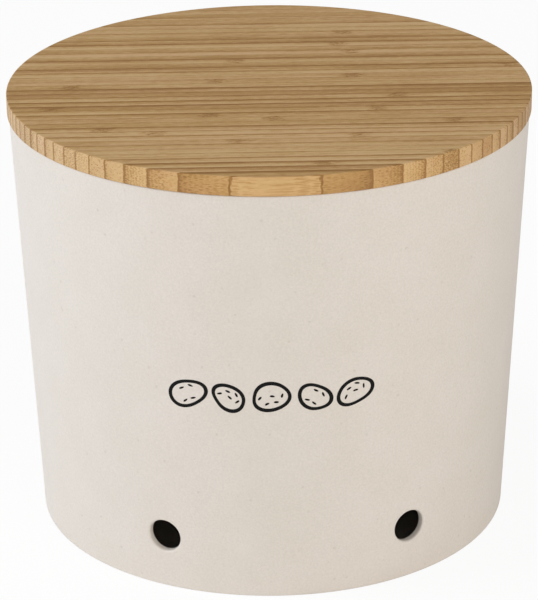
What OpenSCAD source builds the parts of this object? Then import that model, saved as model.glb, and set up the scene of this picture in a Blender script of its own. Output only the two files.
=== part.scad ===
// Potato storage bin: a tapered moulded tub with vents near its foot, and a
// round lid of laminated bamboo that drops into the tub's mouth.
// Millimetres, +Z up. The origin is the centre of the foot, on the surface that
// the bin stands on. The tub's front faces -Y.

/* [Tub] */
// Outer diameter of the tub at its mouth
mouth_d = 248.4; // [235:0.1:360]
// Outer diameter of the tub at its base
base_d = 228.8; // [160:0.1:245]
// Height of the tub without the lid
tub_h = 205; // [120:0.1:320]
// Thickness of the wall
wall_t = 3.6; // [2.4:0.1:6]
// Thickness of the floor
floor_t = 4; // [2.5:0.1:8]
// Rounding between the wall and the underside
foot_round = 1; // [0.5:0.1:5]
// Fillet between the wall and the floor inside
floor_fillet = 8; // [3:0.5:16]
// Rounding of the outer edge of the mouth
lip_round = 0.8; // [0.3:0.1:1.2]
// Rounding of the inner edge of the mouth
lip_inner_round = 0.6; // [0.3:0.1:1]
// Width of the ring that the tub stands on
foot_ring_w = 7; // [4:0.5:14]
// Height of the hollow inside that ring
foot_recess = 1.2; // [0.5:0.1:2]

/* [Vents] */
// Diameter of a vent
vent_d = 16; // [8:0.5:26]
// Height of the vents' centres
vent_z = 27; // [20:0.1:60]
// Angle of each vent from the front, or from the back
vent_angle = 30; // [15:0.5:60]

/* [Lid] */
// How far the lid's rim stands out past the mouth
lid_overhang = 0.8; // [0:0.05:3]
// Thickness of the rim that shows above the tub
rim_t = 9.4; // [6:0.1:16]
// Chamfer that eases the rim's edges
rim_chamfer = 0.5; // [0.2:0.1:2]
// Height of the plug above its seal groove
plug_neck = 1.8; // [1:0.1:4]
// Height of the plug below its seal groove
plug_lip = 2.8; // [2:0.1:8]
// Space between the plug and the wall of the tub, where they are closest
plug_gap = 1; // [0.8:0.1:3]
// Chamfer of the plug's lower edge
plug_chamfer = 1; // [0.4:0.1:1.5]
// Number of full strips between the two cut ones at the front and back
full_strips = 41; // [20:1:45]
// Width of the cut strip at the lid's front
front_strip_w = 1.65; // [1:0.05:5]
// Width of the cut strip at the lid's back
back_strip_w = 2.35; // [1:0.05:5]
// Turn of the lid's strips from the tub's left-right direction
lid_turn = -2.5; // [-180:0.5:180]

/* [Seal] */
// Height of the seal and of its groove
seal_h = 4; // [3:0.1:8]
// Depth of the groove in the plug
groove_d = 1; // [0.8:0.1:3]
// Thickness of the seal's lips
lip_t = 0.8; // [0.5:0.1:1.2]
// Clearance between the seal and the bottom of its groove
seal_seat_gap = 0.3; // [0.1:0.1:0.5]
// Clearance between the lips and the wall of the tub
seal_wall_gap = 0.3; // [0.2:0.1:0.6]

/* [Hidden] */
$fn = 720;
arc_fn = 64;
overcut = 1;
bamboo_light = [0.86, 0.69, 0.5];
bamboo_dark = [0.7, 0.54, 0.35];
tone_turn = 137.5;

mouth_r = mouth_d / 2;
base_r = base_d / 2;
draft = atan((mouth_r - base_r) / tub_h);
wall_run = wall_t / cos(draft);
lid_r = mouth_r + lid_overhang;
top_z = tub_h + rim_t;
groove_top_z = tub_h - plug_neck;
groove_z = groove_top_z - seal_h;
plug_z = groove_z - plug_lip;
plug_r = passing_r(plug_z) - plug_gap;
groove_r = plug_r - groove_d;

strip_w = (2 * lid_r - front_strip_w - back_strip_w) / full_strips;
strip_count = full_strips + 2;

// Radius of the tub's outer and inner face at height z
function outer_r(z) = base_r + (mouth_r - base_r) * z / tub_h;
function inner_r(z) = outer_r(z) - wall_run;
// Radius at height z that also passes out through the mouth
function passing_r(z) = min(inner_r(z), inner_r(tub_h));

// Joint k of the lid's board, at the back of strip k. Joints 0 and strip_count
// lie outside the board, where the first strip starts and the last one ends.
function joint_y(k) =
    k == 0 ? -lid_r - overcut
    : k == strip_count ? lid_r + overcut
    : -lid_r + front_strip_w + (k - 1) * strip_w;
function strip_name(i) = str("lid_strip_", i < 10 ? "0" : "", i);

// Region between a corner and the arc that rounds it. The corner's two sides
// leave it in the directions side_a and side_b, in degrees, and the region
// reaches past them by overcut, so that no film is left along a side.
// Taken from a solid it rounds an outer corner, and taken from a hollow it
// leaves a fillet.
module corner_round(corner, side_a, side_b, r) {
    half = abs(side_b - side_a) / 2;
    middle = (side_a + side_b) / 2;
    inward = [cos(middle), sin(middle)];
    centre = corner + r / sin(half) * inward;
    tip = centre - (r + overcut) / sin(half) * inward;
    run = (r + overcut) / tan(half);
    difference() {
        polygon([
            centre,
            tip + run * [cos(side_a), sin(side_a)],
            tip,
            tip + run * [cos(side_b), sin(side_b)]
        ]);
        translate(centre) circle(r = r, $fn = arc_fn);
    }
}

// Half section of the tub, from the axis outwards
module tub_section() {
    wall_up = 90 - draft;
    wall_down = wall_up - 180;
    difference() {
        polygon([[0, 0], [base_r, 0], [mouth_r, tub_h], [0, tub_h]]);
        difference() {
            polygon([
                [-overcut, floor_t],
                [inner_r(floor_t), floor_t],
                [inner_r(tub_h + overcut), tub_h + overcut],
                [-overcut, tub_h + overcut]
            ]);
            corner_round([inner_r(floor_t), floor_t], wall_up, 180, floor_fillet);
        }
        translate([-overcut, -overcut])
            square([base_r - foot_round - foot_ring_w + overcut, foot_recess + overcut]);
        corner_round([base_r, 0], wall_up, 180, foot_round);
        corner_round([mouth_r, tub_h], 180, 360 + wall_down, lip_round);
        corner_round([inner_r(tub_h), tub_h], wall_down, 0, lip_inner_round);
    }
}

// One vent's bore, from the axis out through the wall, at an angle from the front
module vent_bore(angle) {
    rotate([0, 0, angle])
        translate([0, 0, vent_z])
            rotate([90, 0, 0])
                cylinder(d = vent_d, h = mouth_r + overcut);
}

module tub() {
    color("#d9d0c1")
        difference() {
            rotate_extrude() tub_section();
            for (side = [0, 180], turn = [-vent_angle, vent_angle])
                vent_bore(side + turn);
        }
}

// Half section of the whole lid board: rim, then plug with its groove
module lid_section() {
    polygon([
        [0, top_z],
        [lid_r - rim_chamfer, top_z],
        [lid_r, top_z - rim_chamfer],
        [lid_r, tub_h + rim_chamfer],
        [lid_r - rim_chamfer, tub_h],
        [plug_r, tub_h],
        [plug_r, groove_top_z],
        [groove_r, groove_top_z],
        [groove_r, groove_z],
        [plug_r, groove_z],
        [plug_r, plug_z + plug_chamfer],
        [plug_r - plug_chamfer, plug_z],
        [0, plug_z]
    ]);
}

// Strip i of the lid, counted from 1 at the front: the board between two joints
module lid_strip(i) {
    tone = (1 + sin(i * tone_turn)) / 2;
    color(bamboo_dark + tone * (bamboo_light - bamboo_dark))
        rotate([0, 0, lid_turn])
            intersection() {
                rotate_extrude() lid_section();
                translate([-lid_r - overcut, joint_y(i - 1), plug_z - overcut])
                    cube([
                        2 * (lid_r + overcut),
                        joint_y(i) - joint_y(i - 1),
                        top_z - plug_z + 2 * overcut
                    ]);
            }
}

// Section of one lip with a round edge, reach long from the seat outwards
module lip_section(reach) {
    square([reach - lip_t / 2, lip_t]);
    translate([reach - lip_t / 2, lip_t / 2]) circle(d = lip_t, $fn = arc_fn);
}

// Ring in the plug's groove, with two lips that reach to the tub's wall
module lid_seal() {
    seat_r = groove_r + seal_seat_gap;
    color("#e8e6df")
        rotate_extrude() {
            translate([seat_r, groove_z]) square([plug_r - seat_r, seal_h]);
            for (z = [groove_z, groove_top_z - lip_t])
                translate([seat_r, z])
                    lip_section(passing_r(z) - seal_wall_gap - seat_r);
        }
}

tub();
lid_seal();
for (i = [1 : strip_count])
    lid_strip(i);
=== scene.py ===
"""Potato storage bin: a moulded tub of bamboo-fibre composite with a lid of laminated bamboo strips.

Metres, +Z up, the tub's front towards -Y, as in the frame. Sizes written in millimetres are those of the
real pieces, and what the frame can give is read from it.
"""

import math
import random

import bmesh
import bpy
from mathutils import Matrix, Vector


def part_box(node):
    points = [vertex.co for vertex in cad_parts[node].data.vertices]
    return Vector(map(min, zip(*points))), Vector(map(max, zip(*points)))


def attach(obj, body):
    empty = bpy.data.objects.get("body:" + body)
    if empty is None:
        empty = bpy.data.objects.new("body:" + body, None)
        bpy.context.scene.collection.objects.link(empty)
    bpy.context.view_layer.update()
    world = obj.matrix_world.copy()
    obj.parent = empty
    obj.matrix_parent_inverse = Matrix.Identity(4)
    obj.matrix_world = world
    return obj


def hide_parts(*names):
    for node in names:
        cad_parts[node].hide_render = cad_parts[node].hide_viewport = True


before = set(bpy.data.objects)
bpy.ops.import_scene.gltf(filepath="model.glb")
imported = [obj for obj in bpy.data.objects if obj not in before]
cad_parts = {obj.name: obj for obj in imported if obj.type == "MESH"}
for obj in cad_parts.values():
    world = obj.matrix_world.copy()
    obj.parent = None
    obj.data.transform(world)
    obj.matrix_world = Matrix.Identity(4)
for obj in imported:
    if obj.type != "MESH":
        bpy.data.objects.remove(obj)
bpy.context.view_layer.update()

MM = 0.001
WHITE = (1.0, 1.0, 1.0, 1.0)

# Sizes from the frame
STRIPS = sorted(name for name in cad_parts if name.startswith("lid_strip_"))
MIDDLE_STRIP = STRIPS[len(STRIPS) // 2]
TUB_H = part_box("tub")[1][2]
MOUTH_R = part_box("tub")[1][0]
TOP_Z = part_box(MIDDLE_STRIP)[1][2]
PLUG_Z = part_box(MIDDLE_STRIP)[0][2]
GROOVE_Z, GROOVE_TOP_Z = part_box("lid_seal")[0][2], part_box("lid_seal")[1][2]

# Sizes of the tub
BASE_R = 114.4 * MM
WALL = 3.6 * MM
FLOOR = 4 * MM
FLOOR_FILLET = 8 * MM
FOOT_ROUND = 1 * MM
FOOT_RING = 7 * MM
FOOT_RECESS = 1.2 * MM
LIP_ROUND = 0.8 * MM
LIP_INNER_ROUND = 0.6 * MM
VENT_R = 8 * MM
VENT_Z = 27 * MM
# Rounding of the vents' edges on the wall's outside and inside
VENT_EDGE = 1.1 * MM
VENT_INNER_EDGE = 0.4 * MM
# Turn of each vent from the front, in degrees
VENT_TURNS = (-30, 30, 150, 210)

# Sizes of the lid and its seal
LID_OVERHANG = 0.8 * MM
RIM_EASE = 0.5 * MM
PLUG_GAP = 1 * MM
PLUG_CHAMFER = 1 * MM
GROOVE_D = 1 * MM
FRONT_STRIP_W = 1.65 * MM
BACK_STRIP_W = 2.35 * MM
# Gap between the strips, too fine to see, so that each is a closed body
STRIP_JOINT = 0.02 * MM
# Turn of the strips from the tub's left-right direction
LID_TURN = math.radians(-2.5)
LIP_T = 0.8 * MM
# Rounding of a lip's tip, which leaves a narrow flat between its two arcs
LIP_TIP_ROUND = 0.48 * LIP_T
SEAL_SEAT_GAP = 0.3 * MM
SEAL_WALL_GAP = 0.3 * MM

DRAFT = math.atan((MOUTH_R - BASE_R) / TUB_H)
LID_R = MOUTH_R + LID_OVERHANG
STRIP_W = (2 * LID_R - FRONT_STRIP_W - BACK_STRIP_W) / (len(STRIPS) - 2)


def outer_r(z):
    """Radius of the tub's outer face at height z."""
    return BASE_R + (MOUTH_R - BASE_R) * z / TUB_H


def inner_r(z):
    """Radius of the tub's inner face at height z."""
    return outer_r(z) - WALL / math.cos(DRAFT)


PLUG_R = inner_r(PLUG_Z) - PLUG_GAP
GROOVE_R = PLUG_R - GROOVE_D


# ---------------------------------------------------------------- helpers

def node(tree, kind, inputs=None, **settings):
    """Adds a node. inputs maps each socket to its value, to the output that feeds it, or to the node whose
    first output in use feeds it."""
    made = tree.nodes.new(kind)
    for key, value in settings.items():
        setattr(made, key, value)
    for key, value in (inputs or {}).items():
        if isinstance(value, bpy.types.Node):
            value = next(output for output in value.outputs if output.enabled)
        if isinstance(value, bpy.types.NodeSocket):
            tree.links.new(value, made.inputs[key])
        else:
            made.inputs[key].default_value = value
    return made


def linear(hex_colour):
    """A colour written as sRGB hex, turned to the linear values that sockets take."""
    def channel(text):
        value = int(text, 16) / 255
        return value / 12.92 if value <= 0.04045 else ((value + 0.055) / 1.055) ** 2.4
    return (*(channel(hex_colour[i:i + 2]) for i in (1, 3, 5)), 1.0)


def rounded(outline, steps=8):
    """Points of an outline of (r, z) corners, with an arc at each corner that is given as (r, z, radius)."""
    points = []
    for i, (r, z, *radius) in enumerate(outline):
        if not radius:
            points.append((r, z))
            continue
        tip = Vector((r, z))
        before = (Vector(outline[i - 1][:2]) - tip).normalized()
        after = (Vector(outline[(i + 1) % len(outline)][:2]) - tip).normalized()
        half = before.angle(after) / 2
        centre = tip + (before + after).normalized() * radius[0] / math.sin(half)
        start = tip + before * radius[0] / math.tan(half) - centre
        end = tip + after * radius[0] / math.tan(half) - centre
        sweep = math.atan2(start.cross(end), start.dot(end))
        points += [tuple(centre + Matrix.Rotation(sweep * k / steps, 2) @ start) for k in range(steps + 1)]
    return points


def turned(outline, columns, loop=False, skip=lambda row, column: False):
    """An outline of (r, z) turned about the Z axis: vertices, faces, and each row's vertex numbers."""
    verts, rows, faces = [], [], []
    for r, z in outline:
        turns = [2 * math.pi * i / columns for i in range(columns)] if r > 0 else [0]
        rows.append([len(verts) + i % len(turns) for i in range(columns)])
        verts += [(r * math.cos(turn), r * math.sin(turn), z) for turn in turns]
    for row in range(len(rows) if loop else len(rows) - 1):
        low, high = rows[row], rows[(row + 1) % len(rows)]
        for i in range(columns):
            if not skip(row, i):
                j = (i + 1) % columns
                faces.append(tuple(dict.fromkeys((low[i], low[j], high[j], high[i]))))
    return verts, faces, rows


def new_piece(name, verts, faces, material, sharp=30):
    """A mesh object, smooth except at edges sharper than an angle in degrees."""
    mesh = bpy.data.meshes.new(name)
    mesh.from_pydata(verts, [], faces)
    mesh.materials.append(material)
    piece = bpy.data.objects.new(name, mesh)
    bpy.context.scene.collection.objects.link(piece)
    mesh.shade_smooth()
    mesh.set_sharp_from_angle(angle=math.radians(sharp))
    return piece


# ---------------------------------------------------------------- materials

# Sockets of a Mix node set to colours
MIX_A, MIX_B = 6, 7


def new_material(name):
    """A material, its node tree and its shader."""
    material = bpy.data.materials.new(name)
    material.use_nodes = True
    return material, material.node_tree, material.node_tree.nodes["Principled BSDF"]


def finish_surface(tree, shader, **inputs):
    """Feeds the shader's sockets, named with _ for a space, from nodes."""
    for name, source in inputs.items():
        feed = next(output for output in source.outputs if output.enabled)
        tree.links.new(feed, shader.inputs[name.replace("_", " ")])


# Depth of the fine relief on the composite and on the wood
GRAIN_DEPTH = 0.04 * MM
# Widths of the composite's clouds and grain. Real powder is finer, and is drawn this coarse so that it shows
CLOUD_W = 22 * MM
POWDER_W = 1 * MM
# Its fibre ends: how far apart they could lie, the share of them that shows, how strongly, and the colour
FIBRE_ENDS = ((1.4 * MM, 0.10, 0.2, "#b9a88e"), (1.2 * MM, 0.12, 0.3, "#efe9e0"),
              (3.0 * MM, 0.04, 0.16, "#8e7557"))


def hot_pressed_bamboo_fibre():
    """Bamboo powder bound with resin and hot-pressed in a smooth mould: a dull, even cream. Up close it
    shows the powder as a fine grain and a few pale and brown fibre ends, and it is faintly cloudy where it
    flowed."""
    material, tree, shader = new_material("hot_pressed_bamboo_fibre")
    place = node(tree, "ShaderNodeTexCoord").outputs["Object"]
    cloud = node(tree, "ShaderNodeTexNoise", {"Vector": place, "Scale": 1 / CLOUD_W, "Detail": 3.0})
    cloudy = node(tree, "ShaderNodeMapRange", {"Value": cloud, "From Min": 0.35, "From Max": 0.65})
    colour = node(tree, "ShaderNodeMix", {0: cloudy, MIX_A: linear("#dbd2c8"), MIX_B: linear("#ddd4cb")},
                  data_type="RGBA")
    powder = node(tree, "ShaderNodeTexNoise", {"Vector": place, "Scale": 1 / POWDER_W, "Detail": 2.0})
    tint = node(tree, "ShaderNodeMapRange", {"Value": powder, "From Min": 0.3, "From Max": 0.7,
                                             "To Min": 0.96, "To Max": 1.04})
    colour = node(tree, "ShaderNodeVectorMath", {0: colour, "Scale": tint}, operation="SCALE")
    for spacing, share, strength, hue in FIBRE_ENDS:
        cells = node(tree, "ShaderNodeTexVoronoi", {"Vector": place, "Scale": 1 / spacing})
        pick = node(tree, "ShaderNodeSeparateColor", {"Color": cells.outputs["Color"]})
        chosen = node(tree, "ShaderNodeMath", {0: pick, 1: share}, operation="LESS_THAN")
        speck = node(tree, "ShaderNodeMapRange", {"Value": cells, "From Min": 0.1, "From Max": 0.32,
                                                  "To Min": strength, "To Max": 0.0})
        mask = node(tree, "ShaderNodeMath", {0: chosen, 1: speck}, operation="MULTIPLY")
        colour = node(tree, "ShaderNodeMix", {0: mask, MIX_A: colour, MIX_B: linear(hue)}, data_type="RGBA")
    grain = node(tree, "ShaderNodeBump", {"Height": powder, "Strength": 0.3, "Distance": GRAIN_DEPTH})
    finish_surface(tree, shader, Base_Color=colour, Normal=grain)
    shader.inputs["Roughness"].default_value = 0.5
    return material


# The wood's hues, from its darkest to its lightest
WOOD_HUES = ("#926935", "#a9814a", "#bd9660", "#cfad7c")
# Lightness of the wood before its pattern, from 0 at the darkest hue to 1 at the lightest
WOOD_LIGHTNESS = 0.865
# Tints over the hues: of the rim where it runs along the strips, of the rim where it shows their ends, and of
# the stretches that blush. The ends' paler, bluer tint is partly the end grain's own hue and partly a painted
# sheen of the white surround on ends seen aslant
RIM_TINT = (1.05, 1.0, 0.87, 1.0)
END_TINT_AND_SHEEN = (0.98, 1.01, 1.15, 1.0)
BLUSH = (1.0, 0.97, 1.04, 1.0)

# The wood's pattern, in mm. Each noise is given by its usual length along the grain and width across it.
# Real threads are finer, and are drawn this wide so that they show
THREAD, STREAK, CLOUD = (4.5, 0.4), (200, 0.8), (70, 9)
BLUSH_PATCH, GLUE_PATCH = (160, 7), (100, 4)
NODE_EDGE, FLECK = (5, 1), (2.2, 0.5)
# Real fibre bundles lie closer together, and are drawn this far apart so that they show
BUNDLE_GAP, BUNDLE_LENGTH = 0.75, 40
# How much a bundle darkens the lid's flat faces, the rim where it runs along the strips, and their ends
BUNDLE_DARK, BUNDLE_DARK_FRONT, BUNDLE_DARK_END = -0.12, -0.28, -0.8
# A node is full brown up to the first distance from its middle and gone past the second, and its edge
# strays by noise of this span
NODE_CORE, NODE_REACH, NODE_RAGGED = 1.5, 6.5, 14
# How far along, across and up each strip's grain starts from the one before
GRAIN_SHIFT = (37.1, 5.3, 11.7)
# The joints waver by noise of this span, which comes to about 0.1 mm to either side, and of this length
JOINT_WAVER, WAVER_LENGTH = 0.5, 3
# Half width of a glue line on the lid's flat faces, on the rim where it runs along the strips, and on the
# rim where it cuts square across them. Real ones are finer, and are drawn this wide so that they show
HALF_LINE, HALF_LINE_FRONT, HALF_LINE_SIDE = 0.32, 0.13, 0.8


def streaks(tree, grain, length, width, detail):
    """Noise drawn out along the grain, of a usual length and width in mm."""
    drawn = node(tree, "ShaderNodeMapping", {"Vector": grain, "Scale": (1 / length, 1 / width, 1 / width)})
    return node(tree, "ShaderNodeTexNoise", {"Vector": drawn, "Scale": 1.0, "Detail": detail,
                                             "Roughness": 0.65})


def facing_masks(tree):
    """Two masks: 1 on the board's flat top and underside and 0 on its rim, and 1 where the rim cuts square
    across the strips and 0 where it runs along them."""
    geometry = node(tree, "ShaderNodeNewGeometry")
    normal = node(tree, "ShaderNodeSeparateXYZ", {"Vector": geometry.outputs["Normal"]})
    upright = node(tree, "ShaderNodeMath", {0: normal.outputs["Z"]}, operation="ABSOLUTE")
    flat = node(tree, "ShaderNodeMapRange", {"Value": upright, "From Min": 0.3, "From Max": 0.9})
    frontal = node(tree, "ShaderNodeMath", {0: normal.outputs["Y"]}, operation="ABSOLUTE")
    square = node(tree, "ShaderNodeMapRange", {"Value": frontal, "From Min": 0.38, "From Max": 1.0,
                                               "To Min": 1.0, "To Max": 0.0})
    return flat, square


def across_strip(tree, board, across):
    """Where a point lies across its strip, from -0.5 at the front joint to 0.5 at the back one. The joints
    waver a little."""
    waver = node(tree, "ShaderNodeTexNoise", {"Vector": board, "Scale": 1 / WAVER_LENGTH, "Detail": 1.0})
    wavered = node(tree, "ShaderNodeMath", {0: waver, 1: JOINT_WAVER, 2: across}, operation="MULTIPLY_ADD")
    past_front = (LID_R - FRONT_STRIP_W) / MM - JOINT_WAVER / 2
    from_front = node(tree, "ShaderNodeMath", {0: wavered, 1: past_front})
    joints = node(tree, "ShaderNodeMath", {0: from_front, 1: STRIP_W / MM}, operation="DIVIDE")
    part = node(tree, "ShaderNodeMath", {0: joints}, operation="FRACT")
    return node(tree, "ShaderNodeMath", {0: part, 1: 0.5}, operation="SUBTRACT")


def fibre_bundles(tree, grain, outside, flat, square):
    """A mask of the bundles, 1 inside one, and how much they darken the wood. They are bigger towards the
    culm's outside, and show far more on the strips' ends than on the top."""
    size = (1 / BUNDLE_LENGTH, 1 / BUNDLE_GAP, 1 / BUNDLE_GAP)
    cells = node(tree, "ShaderNodeMapping", {"Vector": grain, "Scale": size})
    centre = node(tree, "ShaderNodeTexVoronoi", {"Vector": cells, "Scale": 1.0, "Randomness": 0.5})
    reach = node(tree, "ShaderNodeMapRange", {"Value": outside, "To Min": 0.3, "To Max": 0.5})
    inside = node(tree, "ShaderNodeMath", {0: reach, 1: centre}, operation="SUBTRACT")
    bundle = node(tree, "ShaderNodeMapRange", {"Value": inside, "From Min": -0.03, "From Max": 0.08})
    on_rim = node(tree, "ShaderNodeMapRange", {"Value": square, "To Min": BUNDLE_DARK_FRONT,
                                               "To Max": BUNDLE_DARK_END})
    contrast = node(tree, "ShaderNodeMapRange", {"Value": flat, "To Min": on_rim, "To Max": BUNDLE_DARK})
    return bundle, node(tree, "ShaderNodeMath", {0: bundle, 1: contrast}, operation="MULTIPLY")


def threads_and_streaks(tree, grain, flat):
    """The fine threads alone, and the threads with long streaks and clouds, which come to about 0 on
    average and show more on the top than on the rim."""
    threads = streaks(tree, grain, *THREAD, 4.0)
    streaked = -1.54  # about minus the mean of what is added up
    for source, share in ((threads, 1.7), (streaks(tree, grain, *STREAK, 1.0), 0.8),
                          (streaks(tree, grain, *CLOUD, 1.0), 0.6)):
        streaked = node(tree, "ShaderNodeMath", {0: source, 1: share, 2: streaked}, operation="MULTIPLY_ADD")
    shown = node(tree, "ShaderNodeMapRange", {"Value": flat, "To Min": 0.45})
    return threads, node(tree, "ShaderNodeMath", {0: streaked, 1: shown}, operation="MULTIPLY")


def culm_node(tree, grain, along, knot):
    """A node of the culm, where one crosses the strip: a brown smudge about 8 mm long, and flecks in it."""
    beside = node(tree, "ShaderNodeMath", {0: along, 1: knot}, operation="SUBTRACT")
    from_knot = node(tree, "ShaderNodeMath", {0: beside}, operation="ABSOLUTE")
    ragged = node(tree, "ShaderNodeMath", {0: streaks(tree, grain, *NODE_EDGE, 2.0), 1: NODE_RAGGED,
                                           2: -NODE_RAGGED / 2}, operation="MULTIPLY_ADD")
    off_knot = node(tree, "ShaderNodeMath", {0: from_knot, 1: ragged})
    smudge = node(tree, "ShaderNodeMapRange", {"Value": off_knot, "From Min": NODE_CORE,
                                               "From Max": NODE_REACH, "To Min": 1.0, "To Max": 0.0},
                  interpolation_type="SMOOTHSTEP")
    dots = node(tree, "ShaderNodeMapRange", {"Value": streaks(tree, grain, *FLECK, 1.0), "From Min": 0.5,
                                             "From Max": 0.57})
    return smudge, node(tree, "ShaderNodeMath", {0: dots, 1: smudge}, operation="MULTIPLY")


def glue_line(tree, grain, off_middle, flat, square):
    """The dark line of glue at each joint. On the flat faces it is stronger in some places than in others."""
    to_middle = node(tree, "ShaderNodeMath", {0: off_middle}, operation="ABSOLUTE")
    to_joint = node(tree, "ShaderNodeMapRange", {"Value": to_middle, "From Max": 0.5,
                                                 "To Min": 0.5 * STRIP_W / MM, "To Max": 0.0})
    half_on_rim = node(tree, "ShaderNodeMapRange", {"Value": square, "To Min": HALF_LINE_FRONT,
                                                    "To Max": HALF_LINE_SIDE})
    half_line = node(tree, "ShaderNodeMapRange", {"Value": flat, "To Min": half_on_rim, "To Max": HALF_LINE})
    off_line = node(tree, "ShaderNodeMath", {0: to_joint, 1: half_line}, operation="DIVIDE")
    line = node(tree, "ShaderNodeMapRange", {"Value": off_line, "From Min": 0.45, "From Max": 1.0,
                                             "To Min": 1.0, "To Max": 0.0})
    patches = streaks(tree, grain, *GLUE_PATCH, 1.0)
    strength = node(tree, "ShaderNodeMapRange", {"Value": patches, "From Min": 0.35, "From Max": 0.65,
                                                 "To Min": 0.1, "To Max": 1.0})
    shown = node(tree, "ShaderNodeMapRange", {"Value": flat, "To Min": 1.0, "To Max": strength})
    return node(tree, "ShaderNodeMath", {0: line, 1: shown}, operation="MULTIPLY")


def wood_hue(tree, lightness):
    """The golden brown or pale straw that a lightness from 0 to 1 stands for."""
    wood = node(tree, "ShaderNodeValToRGB", {"Fac": lightness})
    stops = wood.color_ramp.elements
    stops[0].color = linear(WOOD_HUES[0])
    stops[1].color = linear(WOOD_HUES[-1])
    for k, hue in enumerate(WOOD_HUES[1:-1], 1):
        stops.new(k / (len(WOOD_HUES) - 1)).color = linear(hue)
    return wood


def wood_tints(tree, grain, flat, square):
    """The rim's tint, which is white on the flat faces and on the ends is partly a painted sheen, and the
    blush of some stretches.
    """
    on_rim = node(tree, "ShaderNodeMix", {0: square, MIX_A: RIM_TINT, MIX_B: END_TINT_AND_SHEEN}, data_type="RGBA")
    rim = node(tree, "ShaderNodeMix", {0: flat, MIX_A: on_rim, MIX_B: WHITE}, data_type="RGBA")
    patches = streaks(tree, grain, *BLUSH_PATCH, 1.0)
    warm = node(tree, "ShaderNodeMapRange", {"Value": patches, "From Min": 0.45, "From Max": 0.7})
    blush = node(tree, "ShaderNodeMix", {0: warm, MIX_A: WHITE, MIX_B: BLUSH}, data_type="RGBA")
    return rim, blush


def laminated_bamboo():
    """Strips of bamboo glued on edge, sanded and oiled. Each strip is the culm's wall on its side, so it
    grades from the pale, soft inside to the brown outside, where the fibre bundles crowd. Bundles are
    streaks along a face and dots on an end, so the pattern is a solid one, long in the strip's direction.
    All of it adds up to one lightness, which a ramp turns into golden browns and pale straw."""
    material, tree, shader = new_material("laminated_bamboo")
    place = node(tree, "ShaderNodeTexCoord").outputs["Object"]
    # The board's own axes in mm, the first one along its strips
    board = node(tree, "ShaderNodeMapping", {"Vector": place, "Rotation": (0, 0, -LID_TURN),
                                             "Scale": (1 / MM, 1 / MM, 1 / MM)})
    along, across, _ = node(tree, "ShaderNodeSeparateXYZ", {"Vector": board}).outputs
    strip, tone, grade, knot = (node(tree, "ShaderNodeAttribute", attribute_name=name).outputs["Fac"]
                                for name in ("strip", "tone", "grade", "knot"))
    flat, square = facing_masks(tree)

    # Each strip's grain starts elsewhere, so none runs on into the next
    shift = node(tree, "ShaderNodeVectorMath", {0: GRAIN_SHIFT, "Scale": strip}, operation="SCALE")
    grain = node(tree, "ShaderNodeVectorMath", {0: board, 1: shift}, operation="ADD")

    # How near the culm's outside, about 0 to 1, and the dark side of the strips that were cut close to its
    # skin
    off_middle = across_strip(tree, board, across)
    outside = node(tree, "ShaderNodeMath", {0: off_middle, 1: grade, 2: 0.5}, operation="MULTIPLY_ADD")
    skin = node(tree, "ShaderNodeMapRange", {"Value": outside, "From Min": 0.75, "From Max": 1.1},
                interpolation_type="SMOOTHSTEP")

    bundle, bundles = fibre_bundles(tree, grain, outside, flat, square)
    threads, streaked = threads_and_streaks(tree, grain, flat)
    smudge, flecks = culm_node(tree, grain, along, knot)
    glue = glue_line(tree, grain, off_middle, flat, square)
    lightness = node(tree, "ShaderNodeMath", {0: bundles, 1: WOOD_LIGHTNESS})
    for source, share in ((streaked, 1.0), (tone, 0.22), (outside, -0.24), (skin, -0.34), (smudge, -0.18),
                          (flecks, -0.6), (glue, -0.75)):
        lightness = node(tree, "ShaderNodeMath", {0: source, 1: share, 2: lightness},
                         operation="MULTIPLY_ADD")

    colour = wood_hue(tree, lightness)
    for tint in wood_tints(tree, grain, flat, square):
        colour = node(tree, "ShaderNodeVectorMath", {0: colour, 1: tint}, operation="MULTIPLY")
    relief = node(tree, "ShaderNodeMath", {0: threads, 1: bundle})
    bump = node(tree, "ShaderNodeBump", {"Height": relief, "Strength": 0.3, "Distance": GRAIN_DEPTH})
    sheen = node(tree, "ShaderNodeMapRange", {"Value": flat, "To Min": 0.5, "To Max": 0.2})
    finish_surface(tree, shader, Base_Color=colour, Normal=bump, Specular_IOR_Level=sheen)
    shader.inputs["Roughness"].default_value = 0.6
    return material


# Widths of the silicone's clouds and of its blasted grain, and the grain's depth
SILICONE_CLOUD_W = 9 * MM
BLAST_W, BLAST_DEPTH = 0.3 * MM, 0.02 * MM


def moulded_silicone():
    """Silicone rubber from a fine-blasted mould: off-white, soft-looking and dull, slightly cloudy."""
    material, tree, shader = new_material("moulded_silicone")
    place = node(tree, "ShaderNodeTexCoord").outputs["Object"]
    cloud = node(tree, "ShaderNodeTexNoise", {"Vector": place, "Scale": 1 / SILICONE_CLOUD_W, "Detail": 3.0})
    colour = node(tree, "ShaderNodeMix", {0: cloud, MIX_A: linear("#d8d4ca"), MIX_B: linear("#e6e3db")},
                  data_type="RGBA")
    blast = node(tree, "ShaderNodeTexNoise", {"Vector": place, "Scale": 1 / BLAST_W, "Detail": 2.0})
    bump = node(tree, "ShaderNodeBump", {"Height": blast, "Strength": 0.3, "Distance": BLAST_DEPTH})
    finish_surface(tree, shader, Base_Color=colour, Normal=bump)
    shader.inputs["Roughness"].default_value = 0.55
    return material


# Width of the ink film's unevenness
FILM_PATCH_W = 1.2 * MM


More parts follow.
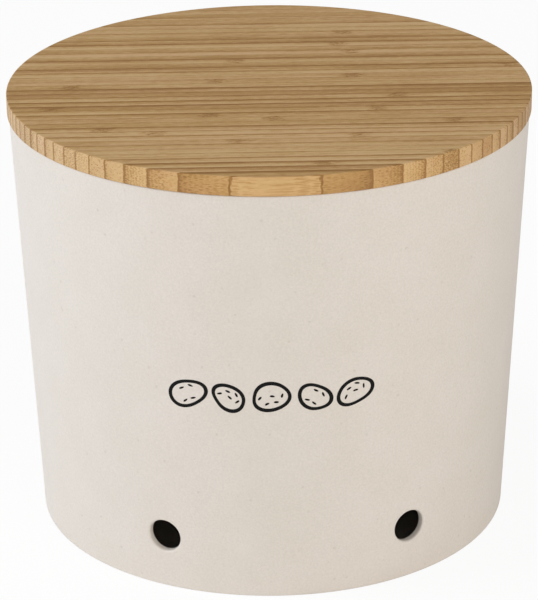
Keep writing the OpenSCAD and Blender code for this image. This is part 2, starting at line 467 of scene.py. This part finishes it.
def screen_printing_ink():
    """Black ink screened on the tub and baked: a thin film, a little uneven in gloss and tone."""
    material, tree, shader = new_material("screen_printing_ink")
    place = node(tree, "ShaderNodeTexCoord").outputs["Object"]
    film = node(tree, "ShaderNodeTexNoise", {"Vector": place, "Scale": 1 / FILM_PATCH_W, "Detail": 4.0})
    colour = node(tree, "ShaderNodeMix", {0: film, MIX_A: linear("#070707"), MIX_B: linear("#101010")},
                  data_type="RGBA")
    gloss = node(tree, "ShaderNodeMapRange", {"Value": film, "To Min": 0.45, "To Max": 0.65})
    finish_surface(tree, shader, Base_Color=colour, Roughness=gloss)
    shader.inputs["Specular IOR Level"].default_value = 0.15
    return material


# ---------------------------------------------------------------- tub

# Points round each turned piece
COLUMNS = 360
# The patch of wall round a vent: columns to either side of its middle, rows and height
PATCH_COLUMNS = 6
PATCH_ROWS = 12
PATCH_H = 24 * MM
# Where rings lie from the patch's frame, at 0, to the vent's circle, at 1, and then round the vent's edge,
# in degrees
RING_SHARES = (0.35, 0.65, 0.87, 1)
EDGE_BENDS = (15, 30, 45, 60, 75, 90)
# How far from its rounded foot and lip the wall has its next row of points
EDGE_ROW = 2 * MM


def patch_heights():
    """Heights of the rows of a vent's patch, from the lowest up."""
    return [VENT_Z + PATCH_H * (k / PATCH_ROWS - 0.5) for k in range(PATCH_ROWS + 1)]


def frame_round(rows, column):
    """Vertex numbers round a vent's patch of the wall, counter-clockwise from its lower left corner as seen
    from outside. rows holds the patch's rows from the lowest up."""
    left, right = column - PATCH_COLUMNS, column + PATCH_COLUMNS
    ring = [rows[0][i % COLUMNS] for i in range(left, right)]
    ring += [row[right % COLUMNS] for row in rows[:-1]]
    ring += [rows[-1][i % COLUMNS] for i in range(right, left, -1)]
    return ring + [row[left % COLUMNS] for row in reversed(rows[1:])]


def cut_vent(verts, faces, column, outer_rows, inner_rows):
    """Fills the patches left open in the wall with a bored vent that has rounded edges."""
    turn = 2 * math.pi * column / COLUMNS
    outwards = Vector((math.cos(turn), math.sin(turn), 0))
    sideways = Vector((-math.sin(turn), math.cos(turn), 0))

    def ring(frame_ring, share, radius, wall_r, inset):
        """A ring between the patch's frame, at share 0, and the vent's circle, at share 1."""
        made = []
        for number in frame_ring:
            corner = Vector(verts[number])
            x, z = corner.dot(sideways), corner.z - VENT_Z
            angle = math.atan2(z, x)
            x += share * (radius * math.cos(angle) - x)
            z += share * (radius * math.sin(angle) - z) + VENT_Z
            y = math.sqrt(wall_r(z) ** 2 - x * x) + inset
            made.append(len(verts))
            verts.append(tuple(outwards * y + sideways * x + Vector((0, 0, z))))
        return made

    def side(frame_ring, wall_r, edge, inward):
        """Rings from the patch's frame to the bore, on one face of the wall. inward is -1 where the edge
        bends towards the axis and 1 where it bends away from it."""
        rings = [frame_ring]
        rings += [ring(frame_ring, share, VENT_R + edge, wall_r, 0) for share in RING_SHARES]
        for bend in EDGE_BENDS:
            radius = VENT_R + edge * (1 - math.sin(math.radians(bend)))
            inset = inward * edge * (1 - math.cos(math.radians(bend)))
            rings.append(ring(frame_ring, 1, radius, wall_r, inset))
        return rings

    rings = side(frame_round(outer_rows, column), outer_r, VENT_EDGE, -1)
    rings += reversed(side(frame_round(inner_rows, column), inner_r, VENT_INNER_EDGE, 1))
    for near, far in zip(rings, rings[1:]):
        for i in range(len(near)):
            j = (i + 1) % len(near)
            faces.append((near[i], near[j], far[j], far[i]))


def tub(material):
    """The moulded shell: foot ring, tapered wall with four vents, rounded lip and a fillet to the floor."""
    ring_r = BASE_R - FOOT_ROUND - FOOT_RING
    heights = patch_heights()
    outer_z = [FOOT_ROUND + EDGE_ROW, *heights, TUB_H - LIP_ROUND - EDGE_ROW]
    inner_z = [*heights, TUB_H - LIP_INNER_ROUND - EDGE_ROW]
    outline = rounded([
        (0, FOOT_RECESS), (ring_r, FOOT_RECESS), (ring_r, 0), (BASE_R, 0, FOOT_ROUND),
        *((outer_r(z), z) for z in outer_z),
        (MOUTH_R, TUB_H, LIP_ROUND), (inner_r(TUB_H), TUB_H, LIP_INNER_ROUND),
        *((inner_r(z), z) for z in reversed(inner_z)),
        (inner_r(FLOOR), FLOOR, FLOOR_FILLET), (0, FLOOR),
    ])
    outer_first = outline.index((outer_r(heights[0]), heights[0]))
    inner_first = outline.index((inner_r(heights[-1]), heights[-1]))
    centres = [(270 + turn) * COLUMNS // 360 for turn in VENT_TURNS]

    def in_patch(row, column):
        """Whether a face of the shell lies in a vent's patch, and is left out for the vent."""
        in_rows = 0 <= row - outer_first < PATCH_ROWS or 0 <= row - inner_first < PATCH_ROWS
        return in_rows and any((column - centre + PATCH_COLUMNS) % COLUMNS < 2 * PATCH_COLUMNS
                               for centre in centres)

    verts, faces, rows = turned(outline, COLUMNS, skip=in_patch)
    for centre in centres:
        cut_vent(verts, faces, centre, rows[outer_first:outer_first + PATCH_ROWS + 1],
                 rows[inner_first:inner_first + PATCH_ROWS + 1][::-1])
    piece = new_piece("tub_shell", verts, faces, material)
    drop_loose(piece.data)
    return piece


def drop_loose(mesh):
    """Deletes vertices that no face uses."""
    work = bmesh.new()
    work.from_mesh(mesh)
    for vert in [v for v in work.verts if not v.link_faces]:
        work.verts.remove(vert)
    work.to_mesh(mesh)
    work.free()


# ---------------------------------------------------------------- lid

# Strips are numbered from 1 at the front. Where a node of the culm crosses a strip, in mm to the right of
# the lid's middle, and the place past the board's end that stands for none
KNOTS = {4: 22, 6: 80, 9: -16, 10: 40, 11: -54, 12: -77, 13: 84, 14: 1, 15: -29, 16: 50, 17: -102, 19: 60,
         22: -94, 23: -26, 24: 40, 26: 117, 28: -16, 30: 41, 32: 35, 35: 39}
NO_KNOT = 1000.0
# How much paler, above 0, or darker than usual these strips are on the lid's top
TOP_TONES = {0.7: {5, 6, 7, 10, 11, 25, 28, 30, 32, 36, 37, 41},
             -0.65: {3, 13, 15, 18, 26, 27, 29, 31, 33, 34, 38, 40, 42, 43},
             -1.2: {2, 17, 20, 21}}
# The same at the strips' ends on the rim, left at -1 and right at 1
END_TONES = {-1: {0.6: {7, 9, 11, 12, 13}, -0.8: {3}, -1.4: {2}},
             1: {0.6: {4, 5, 7}, -0.8: {3, 9, 12, 14}, -1.4: {2, 15}}}
# The usual tone of the ends, and how much paler it is on the left and darker on the right
END_TONE, END_LEAN = 0.45, 0.2
# How far tones stray by chance, on the top and at the ends
TOP_SPREAD, END_SPREAD = 0.15, 0.2
# Tone of the front strip where the rim shows it lengthwise
FRONT_TONE = 0.7
# Strips that are brown on their front side. The others are brown on their back side
BROWN_IN_FRONT = {27, 29, 31, 33, 34, 37, 38, 39, 40}
# How strongly the strips grade on the lid's top, at its front and back, and on its rim, and the range of
# each strip's own share of that
FRONT_GRADE, BACK_GRADE = 1.5, 0.5
RIM_GRADE = 0.7
OWN_GRADE = (0.2, 1.8)
# Edges of the strips that bend by more than this stay sharp
STRIP_SHARP = math.radians(10)


def lid_blank():
    """The lid as one turned board, before it is cut into its strips."""
    return turned(rounded([
        (0, PLUG_Z), (PLUG_R - PLUG_CHAMFER, PLUG_Z), (PLUG_R, PLUG_Z + PLUG_CHAMFER),
        (PLUG_R, GROOVE_Z), (GROOVE_R, GROOVE_Z), (GROOVE_R, GROOVE_TOP_Z), (PLUG_R, GROOVE_TOP_Z),
        (PLUG_R, TUB_H), (LID_R, TUB_H, RIM_EASE), (LID_R, TOP_Z, RIM_EASE), (0, TOP_Z),
    ], steps=4), COLUMNS)


def strips_tree():
    """Geometry Nodes that cut a board into strips: a row of slabs, intersected with the board. Each face
    stores its strip's number."""
    tree = bpy.data.node_groups.new("board_of_strips", "GeometryNodeTree")
    for name, kind in (("Blank", "Object"), ("Strips", "Int"), ("Strip width", "Float"), ("Joint", "Float"),
                       ("First joint", "Float"), ("Board length", "Float"), ("Underside", "Float"),
                       ("Top", "Float"), ("Turn", "Float"), ("Material", "Material")):
        tree.interface.new_socket(name, in_out="INPUT", socket_type="NodeSocket" + kind)
    tree.interface.new_socket("Board", in_out="OUTPUT", socket_type="NodeSocketGeometry")
    given = node(tree, "NodeGroupInput").outputs

    # The slabs are as high as the whole bin, so they stand out well above and below the board
    half = node(tree, "ShaderNodeMath", {0: given["Strip width"], 1: 0.5}, operation="MULTIPLY")
    first = node(tree, "ShaderNodeMath", {0: given["First joint"], 1: half}, operation="SUBTRACT")
    levels = node(tree, "ShaderNodeMath", {0: given["Underside"], 1: given["Top"]}, operation="ADD")
    middle = node(tree, "ShaderNodeMath", {0: levels, 1: 0.5}, operation="MULTIPLY")
    start = node(tree, "ShaderNodeCombineXYZ", {"Y": first, "Z": middle})
    step = node(tree, "ShaderNodeCombineXYZ", {"Y": given["Strip width"]})
    row = node(tree, "GeometryNodeMeshLine", {"Count": given["Strips"], "Start Location": start,
                                              "Offset": step})
    depth = node(tree, "ShaderNodeMath", {0: given["Strip width"], 1: given["Joint"]}, operation="SUBTRACT")
    size = node(tree, "ShaderNodeCombineXYZ", {"X": given["Board length"], "Y": depth, "Z": given["Top"]})
    slab = node(tree, "GeometryNodeMeshCube", {"Size": size})
    slabs = node(tree, "GeometryNodeInstanceOnPoints", {"Points": row, "Instance": slab})
    solid = node(tree, "GeometryNodeRealizeInstances", {"Geometry": slabs})
    blank = node(tree, "GeometryNodeObjectInfo", {"Object": given["Blank"]})
    cut = node(tree, "GeometryNodeMeshBoolean", operation="INTERSECT", solver="MANIFOLD")
    tree.links.new(blank.outputs["Geometry"], cut.inputs["Mesh 2"])
    tree.links.new(solid.outputs["Geometry"], cut.inputs["Mesh 2"])

    # Faces are numbered by how many strips past the first joint they lie. The front strip is number 1
    place = node(tree, "ShaderNodeSeparateXYZ", {"Vector": node(tree, "GeometryNodeInputPosition")})
    past = node(tree, "ShaderNodeMath", {0: place.outputs["Y"], 1: given["First joint"]},
                operation="SUBTRACT")
    count = node(tree, "ShaderNodeMath", {0: past, 1: given["Strip width"]}, operation="DIVIDE")
    number = node(tree, "ShaderNodeMath", {0: count}, operation="FLOOR")
    from_one = node(tree, "ShaderNodeMath", {0: number, 1: 2.0}, operation="ADD")
    named = node(tree, "GeometryNodeStoreNamedAttribute", {"Geometry": cut.outputs["Mesh"], "Name": "strip",
                                                           "Value": from_one}, domain="FACE")
    spin = node(tree, "FunctionNodeAxisAngleToRotation", {"Axis": (0, 0, 1), "Angle": given["Turn"]})
    laid = node(tree, "GeometryNodeTransform", {"Geometry": named, "Rotation": spin})
    whole = node(tree, "GeometryNodeRealizeInstances", {"Geometry": laid})
    finished = node(tree, "GeometryNodeSetMaterial", {"Geometry": whole, "Material": given["Material"]})
    node(tree, "NodeGroupOutput", {"Board": finished})
    return tree


def baked(name, tree, values, material):
    """A plain mesh object made by a Geometry Nodes tree with these input values."""
    carrier = new_piece(name + "_carrier", [], [], material)
    modifier = carrier.modifiers.new("nodes", "NODES")
    modifier.node_group = tree
    for socket in tree.interface.items_tree:
        if socket.in_out == "INPUT":
            modifier[socket.identifier] = values[socket.name]
    graph = bpy.context.evaluated_depsgraph_get()
    mesh = bpy.data.meshes.new_from_object(carrier.evaluated_get(graph))
    bpy.data.objects.remove(carrier)
    piece = bpy.data.objects.new(name, mesh)
    bpy.context.scene.collection.objects.link(piece)
    return piece


def lid_board(material):
    """The lid's 43 strips."""
    verts, faces, _ = lid_blank()
    blank = new_piece("lid_blank", verts, faces, material)
    board = baked("lid_board", strips_tree(), {
        "Blank": blank, "Strips": len(STRIPS), "Strip width": STRIP_W, "Joint": STRIP_JOINT,
        "First joint": FRONT_STRIP_W - LID_R, "Board length": 3 * LID_R, "Underside": PLUG_Z, "Top": TOP_Z,
        "Turn": LID_TURN, "Material": material,
    }, material)
    bpy.data.objects.remove(blank)
    board.data.shade_smooth()
    board.data.set_sharp_from_angle(angle=STRIP_SHARP)
    dress_strips(board.data)
    return board


def tone_of(strip, tones):
    """How much paler or darker than usual a strip is."""
    return sum(tone for tone, strips in tones.items() if strip in strips)


def dress_strips(mesh):
    """Gives each face its strip's tone, how strongly it grades from inside to outside, to the back when
    above 0, and the place of its node. The ends on the rim have tones of their own."""
    draw = random.Random(12)
    tone, grade, knot = {}, {}, {}
    for strip in range(1, len(STRIPS) + 1):
        tone[strip, 0] = tone_of(strip, TOP_TONES) + draw.uniform(-TOP_SPREAD, TOP_SPREAD)
        for side in (-1, 1):
            base = END_TONE + tone_of(strip, END_TONES[side]) - END_LEAN * side
            tone[strip, side] = base + draw.uniform(-END_SPREAD, END_SPREAD)
        own = draw.uniform(*OWN_GRADE) * (-1 if strip in BROWN_IN_FRONT else 1)
        grade[strip, 0] = own * (FRONT_GRADE + (BACK_GRADE - FRONT_GRADE) * strip / len(STRIPS))
        grade[strip, 1] = grade[strip, -1] = own * RIM_GRADE
        knot[strip] = KNOTS.get(strip, NO_KNOT)
    tone[1, 1] = tone[1, -1] = FRONT_TONE
    values = []
    for face, strip in zip(mesh.polygons, mesh.attributes["strip"].data):
        number = round(strip.value)
        side = 0 if abs(face.normal.z) > 0.5 else int(math.copysign(1, face.center.x))
        values.append((tone[number, side], grade[number, side], knot[number]))
    for name, column in zip(("tone", "grade", "knot"), zip(*values)):
        feature = mesh.attributes.new(name, "FLOAT", "FACE")
        feature.data.foreach_set("value", column)


def seal_ring(material):
    """The silicone ring in the plug's groove, with a lip at its foot and one at its top."""
    seat_r = GROOVE_R + SEAL_SEAT_GAP

    def lip(z):
        """Outline of a lip from its root below, round its tip, to its root above."""
        tip_r = inner_r(z) - SEAL_WALL_GAP
        return [(PLUG_R, z), (tip_r, z, LIP_TIP_ROUND), (tip_r, z + LIP_T, LIP_TIP_ROUND),
                (PLUG_R, z + LIP_T)]

    outline = rounded([(seat_r, GROOVE_Z), *lip(GROOVE_Z)[1:], *lip(GROOVE_TOP_Z - LIP_T)[:-1],
                       (seat_r, GROOVE_TOP_Z)], steps=5)
    verts, faces, _ = turned(outline, COLUMNS, loop=True)
    return new_piece("seal_ring", verts, faces, material)


# ---------------------------------------------------------------- print on the tub

# Turn of the print's middle from the front, in degrees, and its height
PRINT_TURN = -3.9
PRINT_Z = 105 * MM
# How thick the ink lies, and how deep it reaches into the wall
FILM_T = 0.06 * MM
FILM_SINK = 0.05 * MM
# In mm: the line, an eye's half width and half height, and each potato's place across and up, half width,
# half height and tilt in degrees
LINE_W = 1.7
EYE_W, EYE_H = 1.2, 0.5
POTATOES = ((-39, 0, 9.2, 7.4, 20), (-19.5, -0.5, 8.4, 6.6, -25), (0, 0.4, 9.6, 7.2, 8),
            (20, -0.4, 8.2, 6.9, -38), (39, 0.2, 9.0, 7.0, 28))
# Places for eyes, as shares of a potato's half width and half height, each with its lean in degrees
EYES = ((-0.55, 0.0, 40), (-0.2, 0.42, 5), (-0.25, -0.45, 20), (0.05, 0.05, -15), (0.3, 0.45, -35),
        (0.2, -0.4, -5), (0.52, 0.0, 65))
# Points round a potato and round an eye
POTATO_STEPS, EYE_STEPS = 72, 20
# How much further round each potato's bulges lie than those of the one before
WOBBLE = 1.7


def on_wall(x, z, lift):
    """The point x along the wall from the print's middle and z above it, lift outside the wall."""
    z += PRINT_Z
    turn = math.radians(PRINT_TURN - 90) + x / outer_r(z)
    r = outer_r(z) + lift
    return (r * math.cos(turn), r * math.sin(turn), z)


def tilted(x, z, degrees):
    """The point x, z turned about the middle."""
    turn = math.radians(degrees)
    return (x * math.cos(turn) - z * math.sin(turn), x * math.sin(turn) + z * math.cos(turn))


def blob(half_w, half_h, tilt, wobble, steps):
    """Outline of a tilted oval that bulges unevenly. wobble moves its bulges round."""
    points = []
    for k in range(steps):
        turn = 2 * math.pi * k / steps
        # Two bulges of 7 per cent and three of 4.5 per cent
        swell = 1 + 0.07 * math.cos(2 * turn + wobble) + 0.045 * math.cos(3 * turn + 2.1 * wobble)
        points.append(tilted(half_w * swell * math.cos(turn), half_h * swell * math.sin(turn), tilt))
    return points


def moved(points, x, z):
    """Points moved across and up."""
    return [(px + x, pz + z) for px, pz in points]


def potato_print(material):
    """A row of five potatoes drawn in line, in ink: a ring for each outline and a dash for each eye."""
    verts, faces = [], []

    def band(rings, close):
        """Joins rings of (points, lift), and closes the last to the first or fills the first and last."""
        numbers = []
        for points, lift in rings:
            numbers.append(range(len(verts), len(verts) + len(points)))
            verts.extend(on_wall(x * MM, z * MM, lift) for x, z in points)
        if close:
            numbers.append(numbers[0])
        for near, far in zip(numbers, numbers[1:]):
            for i in range(len(near)):
                j = (i + 1) % len(near)
                faces.append((near[i], near[j], far[j], far[i]))
        if not close:
            faces.append(tuple(reversed(numbers[0])))
            faces.append(tuple(numbers[-1]))

    for index, (x, z, half_w, half_h, tilt) in enumerate(POTATOES):
        wobble = index * WOBBLE
        outside = moved(blob(half_w, half_h, tilt, wobble, POTATO_STEPS), x, z)
        inside = moved(blob(half_w - LINE_W, half_h - LINE_W, tilt, wobble, POTATO_STEPS), x, z)
        band([(outside, -FILM_SINK), (outside, FILM_T), (inside, FILM_T), (inside, -FILM_SINK)], True)
        for number, (across, up, lean) in enumerate(EYES):
            # Every third place stays bare, and another third than on the potato before
            if (number + index) % 3:
                on_potato = tilted(across * half_w, up * half_h, tilt)
                eye = moved(blob(EYE_W, EYE_H, lean + tilt, wobble, EYE_STEPS), *on_potato)
                eye = moved(eye, x, z)
                band([(eye, -FILM_SINK), (eye, FILM_T)], False)
    return new_piece("potato_print", verts, faces, material)


# ---------------------------------------------------------------- scene

# The photograph's size in pixels
PHOTO_W, PHOTO_H = 538, 600
# The camera's turn from the front, its angle above the table, its roll, its distance and what it looks at
CAMERA_TURN = math.radians(-3.7)
CAMERA_RISE = math.radians(23.129)
CAMERA_ROLL = math.radians(0.582)
CAMERA_AWAY = 1.4958
CAMERA_AIM = Vector((0, 0, 0.0997))
# Focal length, and where in the photograph that point lies, in its pixels
FOCAL_PX = 3044.6
CENTRE_PX = (271.25, 305.5)
# Width of the camera's film in millimetres, the unit that Blender takes for it
SENSOR = 36.0
# Strength of the surround's light
AMBIENT = 0.5
# Square lamps that look at the bin's middle: side, and each one's place, watts and hue
LAMP_SIZE = 1.4
LAMPS = {"key": ((-2.1, -0.1, 1.05), 30.5, "#f0f7ff"), "fill": ((1.05, -1.8, 0.9), 18, "#fffaf2")}
# Half the table's side, and the share of it that the camera sees as plain backdrop
TABLE_HALF = 8.0
TABLE_GLOW = 0.9


def place_camera():
    """The photograph's view: from the front, a little left and 23 degrees above."""
    data = bpy.data.cameras.new("camera")
    data.sensor_width = SENSOR
    data.lens = FOCAL_PX * SENSOR / PHOTO_H
    data.shift_x = (PHOTO_W / 2 - CENTRE_PX[0]) / PHOTO_H
    data.shift_y = (CENTRE_PX[1] - PHOTO_H / 2) / PHOTO_H
    data.clip_end = 50
    camera = bpy.data.objects.new("camera", data)
    bpy.context.scene.collection.objects.link(camera)
    away = Vector((0, -math.cos(CAMERA_RISE), math.sin(CAMERA_RISE)))
    spot = Matrix.Translation(Matrix.Rotation(CAMERA_TURN, 3, "Z") @ away * CAMERA_AWAY + CAMERA_AIM)
    camera.matrix_world = (spot @ Matrix.Rotation(CAMERA_TURN, 4, "Z")
                           @ Matrix.Rotation(math.pi / 2 - CAMERA_RISE, 4, "X")
                           @ Matrix.Rotation(-CAMERA_ROLL, 4, "Z"))
    bpy.context.scene.camera = camera


def light_world():
    """A white surround, which lights less than it shows."""
    world = bpy.data.worlds.new("studio")
    bpy.context.scene.world = world
    world.use_nodes = True
    tree = world.node_tree
    lit = node(tree, "ShaderNodeBackground", {"Color": linear("#ffffff"), "Strength": AMBIENT})
    shown = node(tree, "ShaderNodeBackground", {"Color": linear("#fdfdfd"), "Strength": 1.0})
    seen = node(tree, "ShaderNodeLightPath").outputs["Is Camera Ray"]
    mixed = node(tree, "ShaderNodeMixShader", {0: seen, 1: lit, 2: shown})
    tree.links.new(mixed.outputs[0], tree.nodes["World Output"].inputs["Surface"])


def add_softbox(name, spot, watts, hue):
    """A square lamp that looks at the bin's middle."""
    data = bpy.data.lights.new(name, "AREA")
    data.size = LAMP_SIZE
    data.energy = watts
    data.color = linear(hue)[:3]
    lamp = bpy.data.objects.new(name, data)
    bpy.context.scene.collection.objects.link(lamp)
    lamp.location = spot
    lamp.rotation_euler = (Vector((0, 0, TUB_H / 2)) - Vector(spot)).to_track_quat("-Z", "Y").to_euler()


def lay_floor():
    """A matt white table, mostly as bright as the backdrop, that keeps the bin's shadow."""
    material, tree, shader = new_material("studio_floor")
    shader.inputs["Base Color"].default_value = linear("#f9f9f8")
    shader.inputs["Roughness"].default_value = 0.9
    shader.inputs["Specular IOR Level"].default_value = 0.0
    glow = node(tree, "ShaderNodeEmission", {"Color": linear("#ffffff"), "Strength": 1.0})
    seen = node(tree, "ShaderNodeLightPath").outputs["Is Camera Ray"]
    share = node(tree, "ShaderNodeMath", {0: seen, 1: TABLE_GLOW}, operation="MULTIPLY")
    mixed = node(tree, "ShaderNodeMixShader", {0: share, 1: shader, 2: glow})
    tree.links.new(mixed.outputs[0], tree.nodes["Material Output"].inputs["Surface"])
    corners = [(x * TABLE_HALF, y * TABLE_HALF, 0) for x, y in ((-1, -1), (1, -1), (1, 1), (-1, 1))]
    floor = new_piece("floor", corners, [(0, 1, 2, 3)], material)


def build():
    """The studio, then the bin's four pieces with their materials and bodies."""
    place_camera()
    light_world()
    for name, (spot, watts, hue) in LAMPS.items():
        add_softbox(name, spot, watts, hue)
    lay_floor()

    fibre = hot_pressed_bamboo_fibre()
    shell = tub(fibre)
    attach(shell, "bin")
    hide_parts("tub")

    board = lid_board(laminated_bamboo())
    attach(board, "lid")
    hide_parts(*STRIPS)

    seal = seal_ring(moulded_silicone())
    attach(seal, "lid")
    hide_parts("lid_seal")

    potatoes = potato_print(screen_printing_ink())
    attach(potatoes, "bin")

    bpy.context.scene.view_settings.view_transform = "Standard"


build()
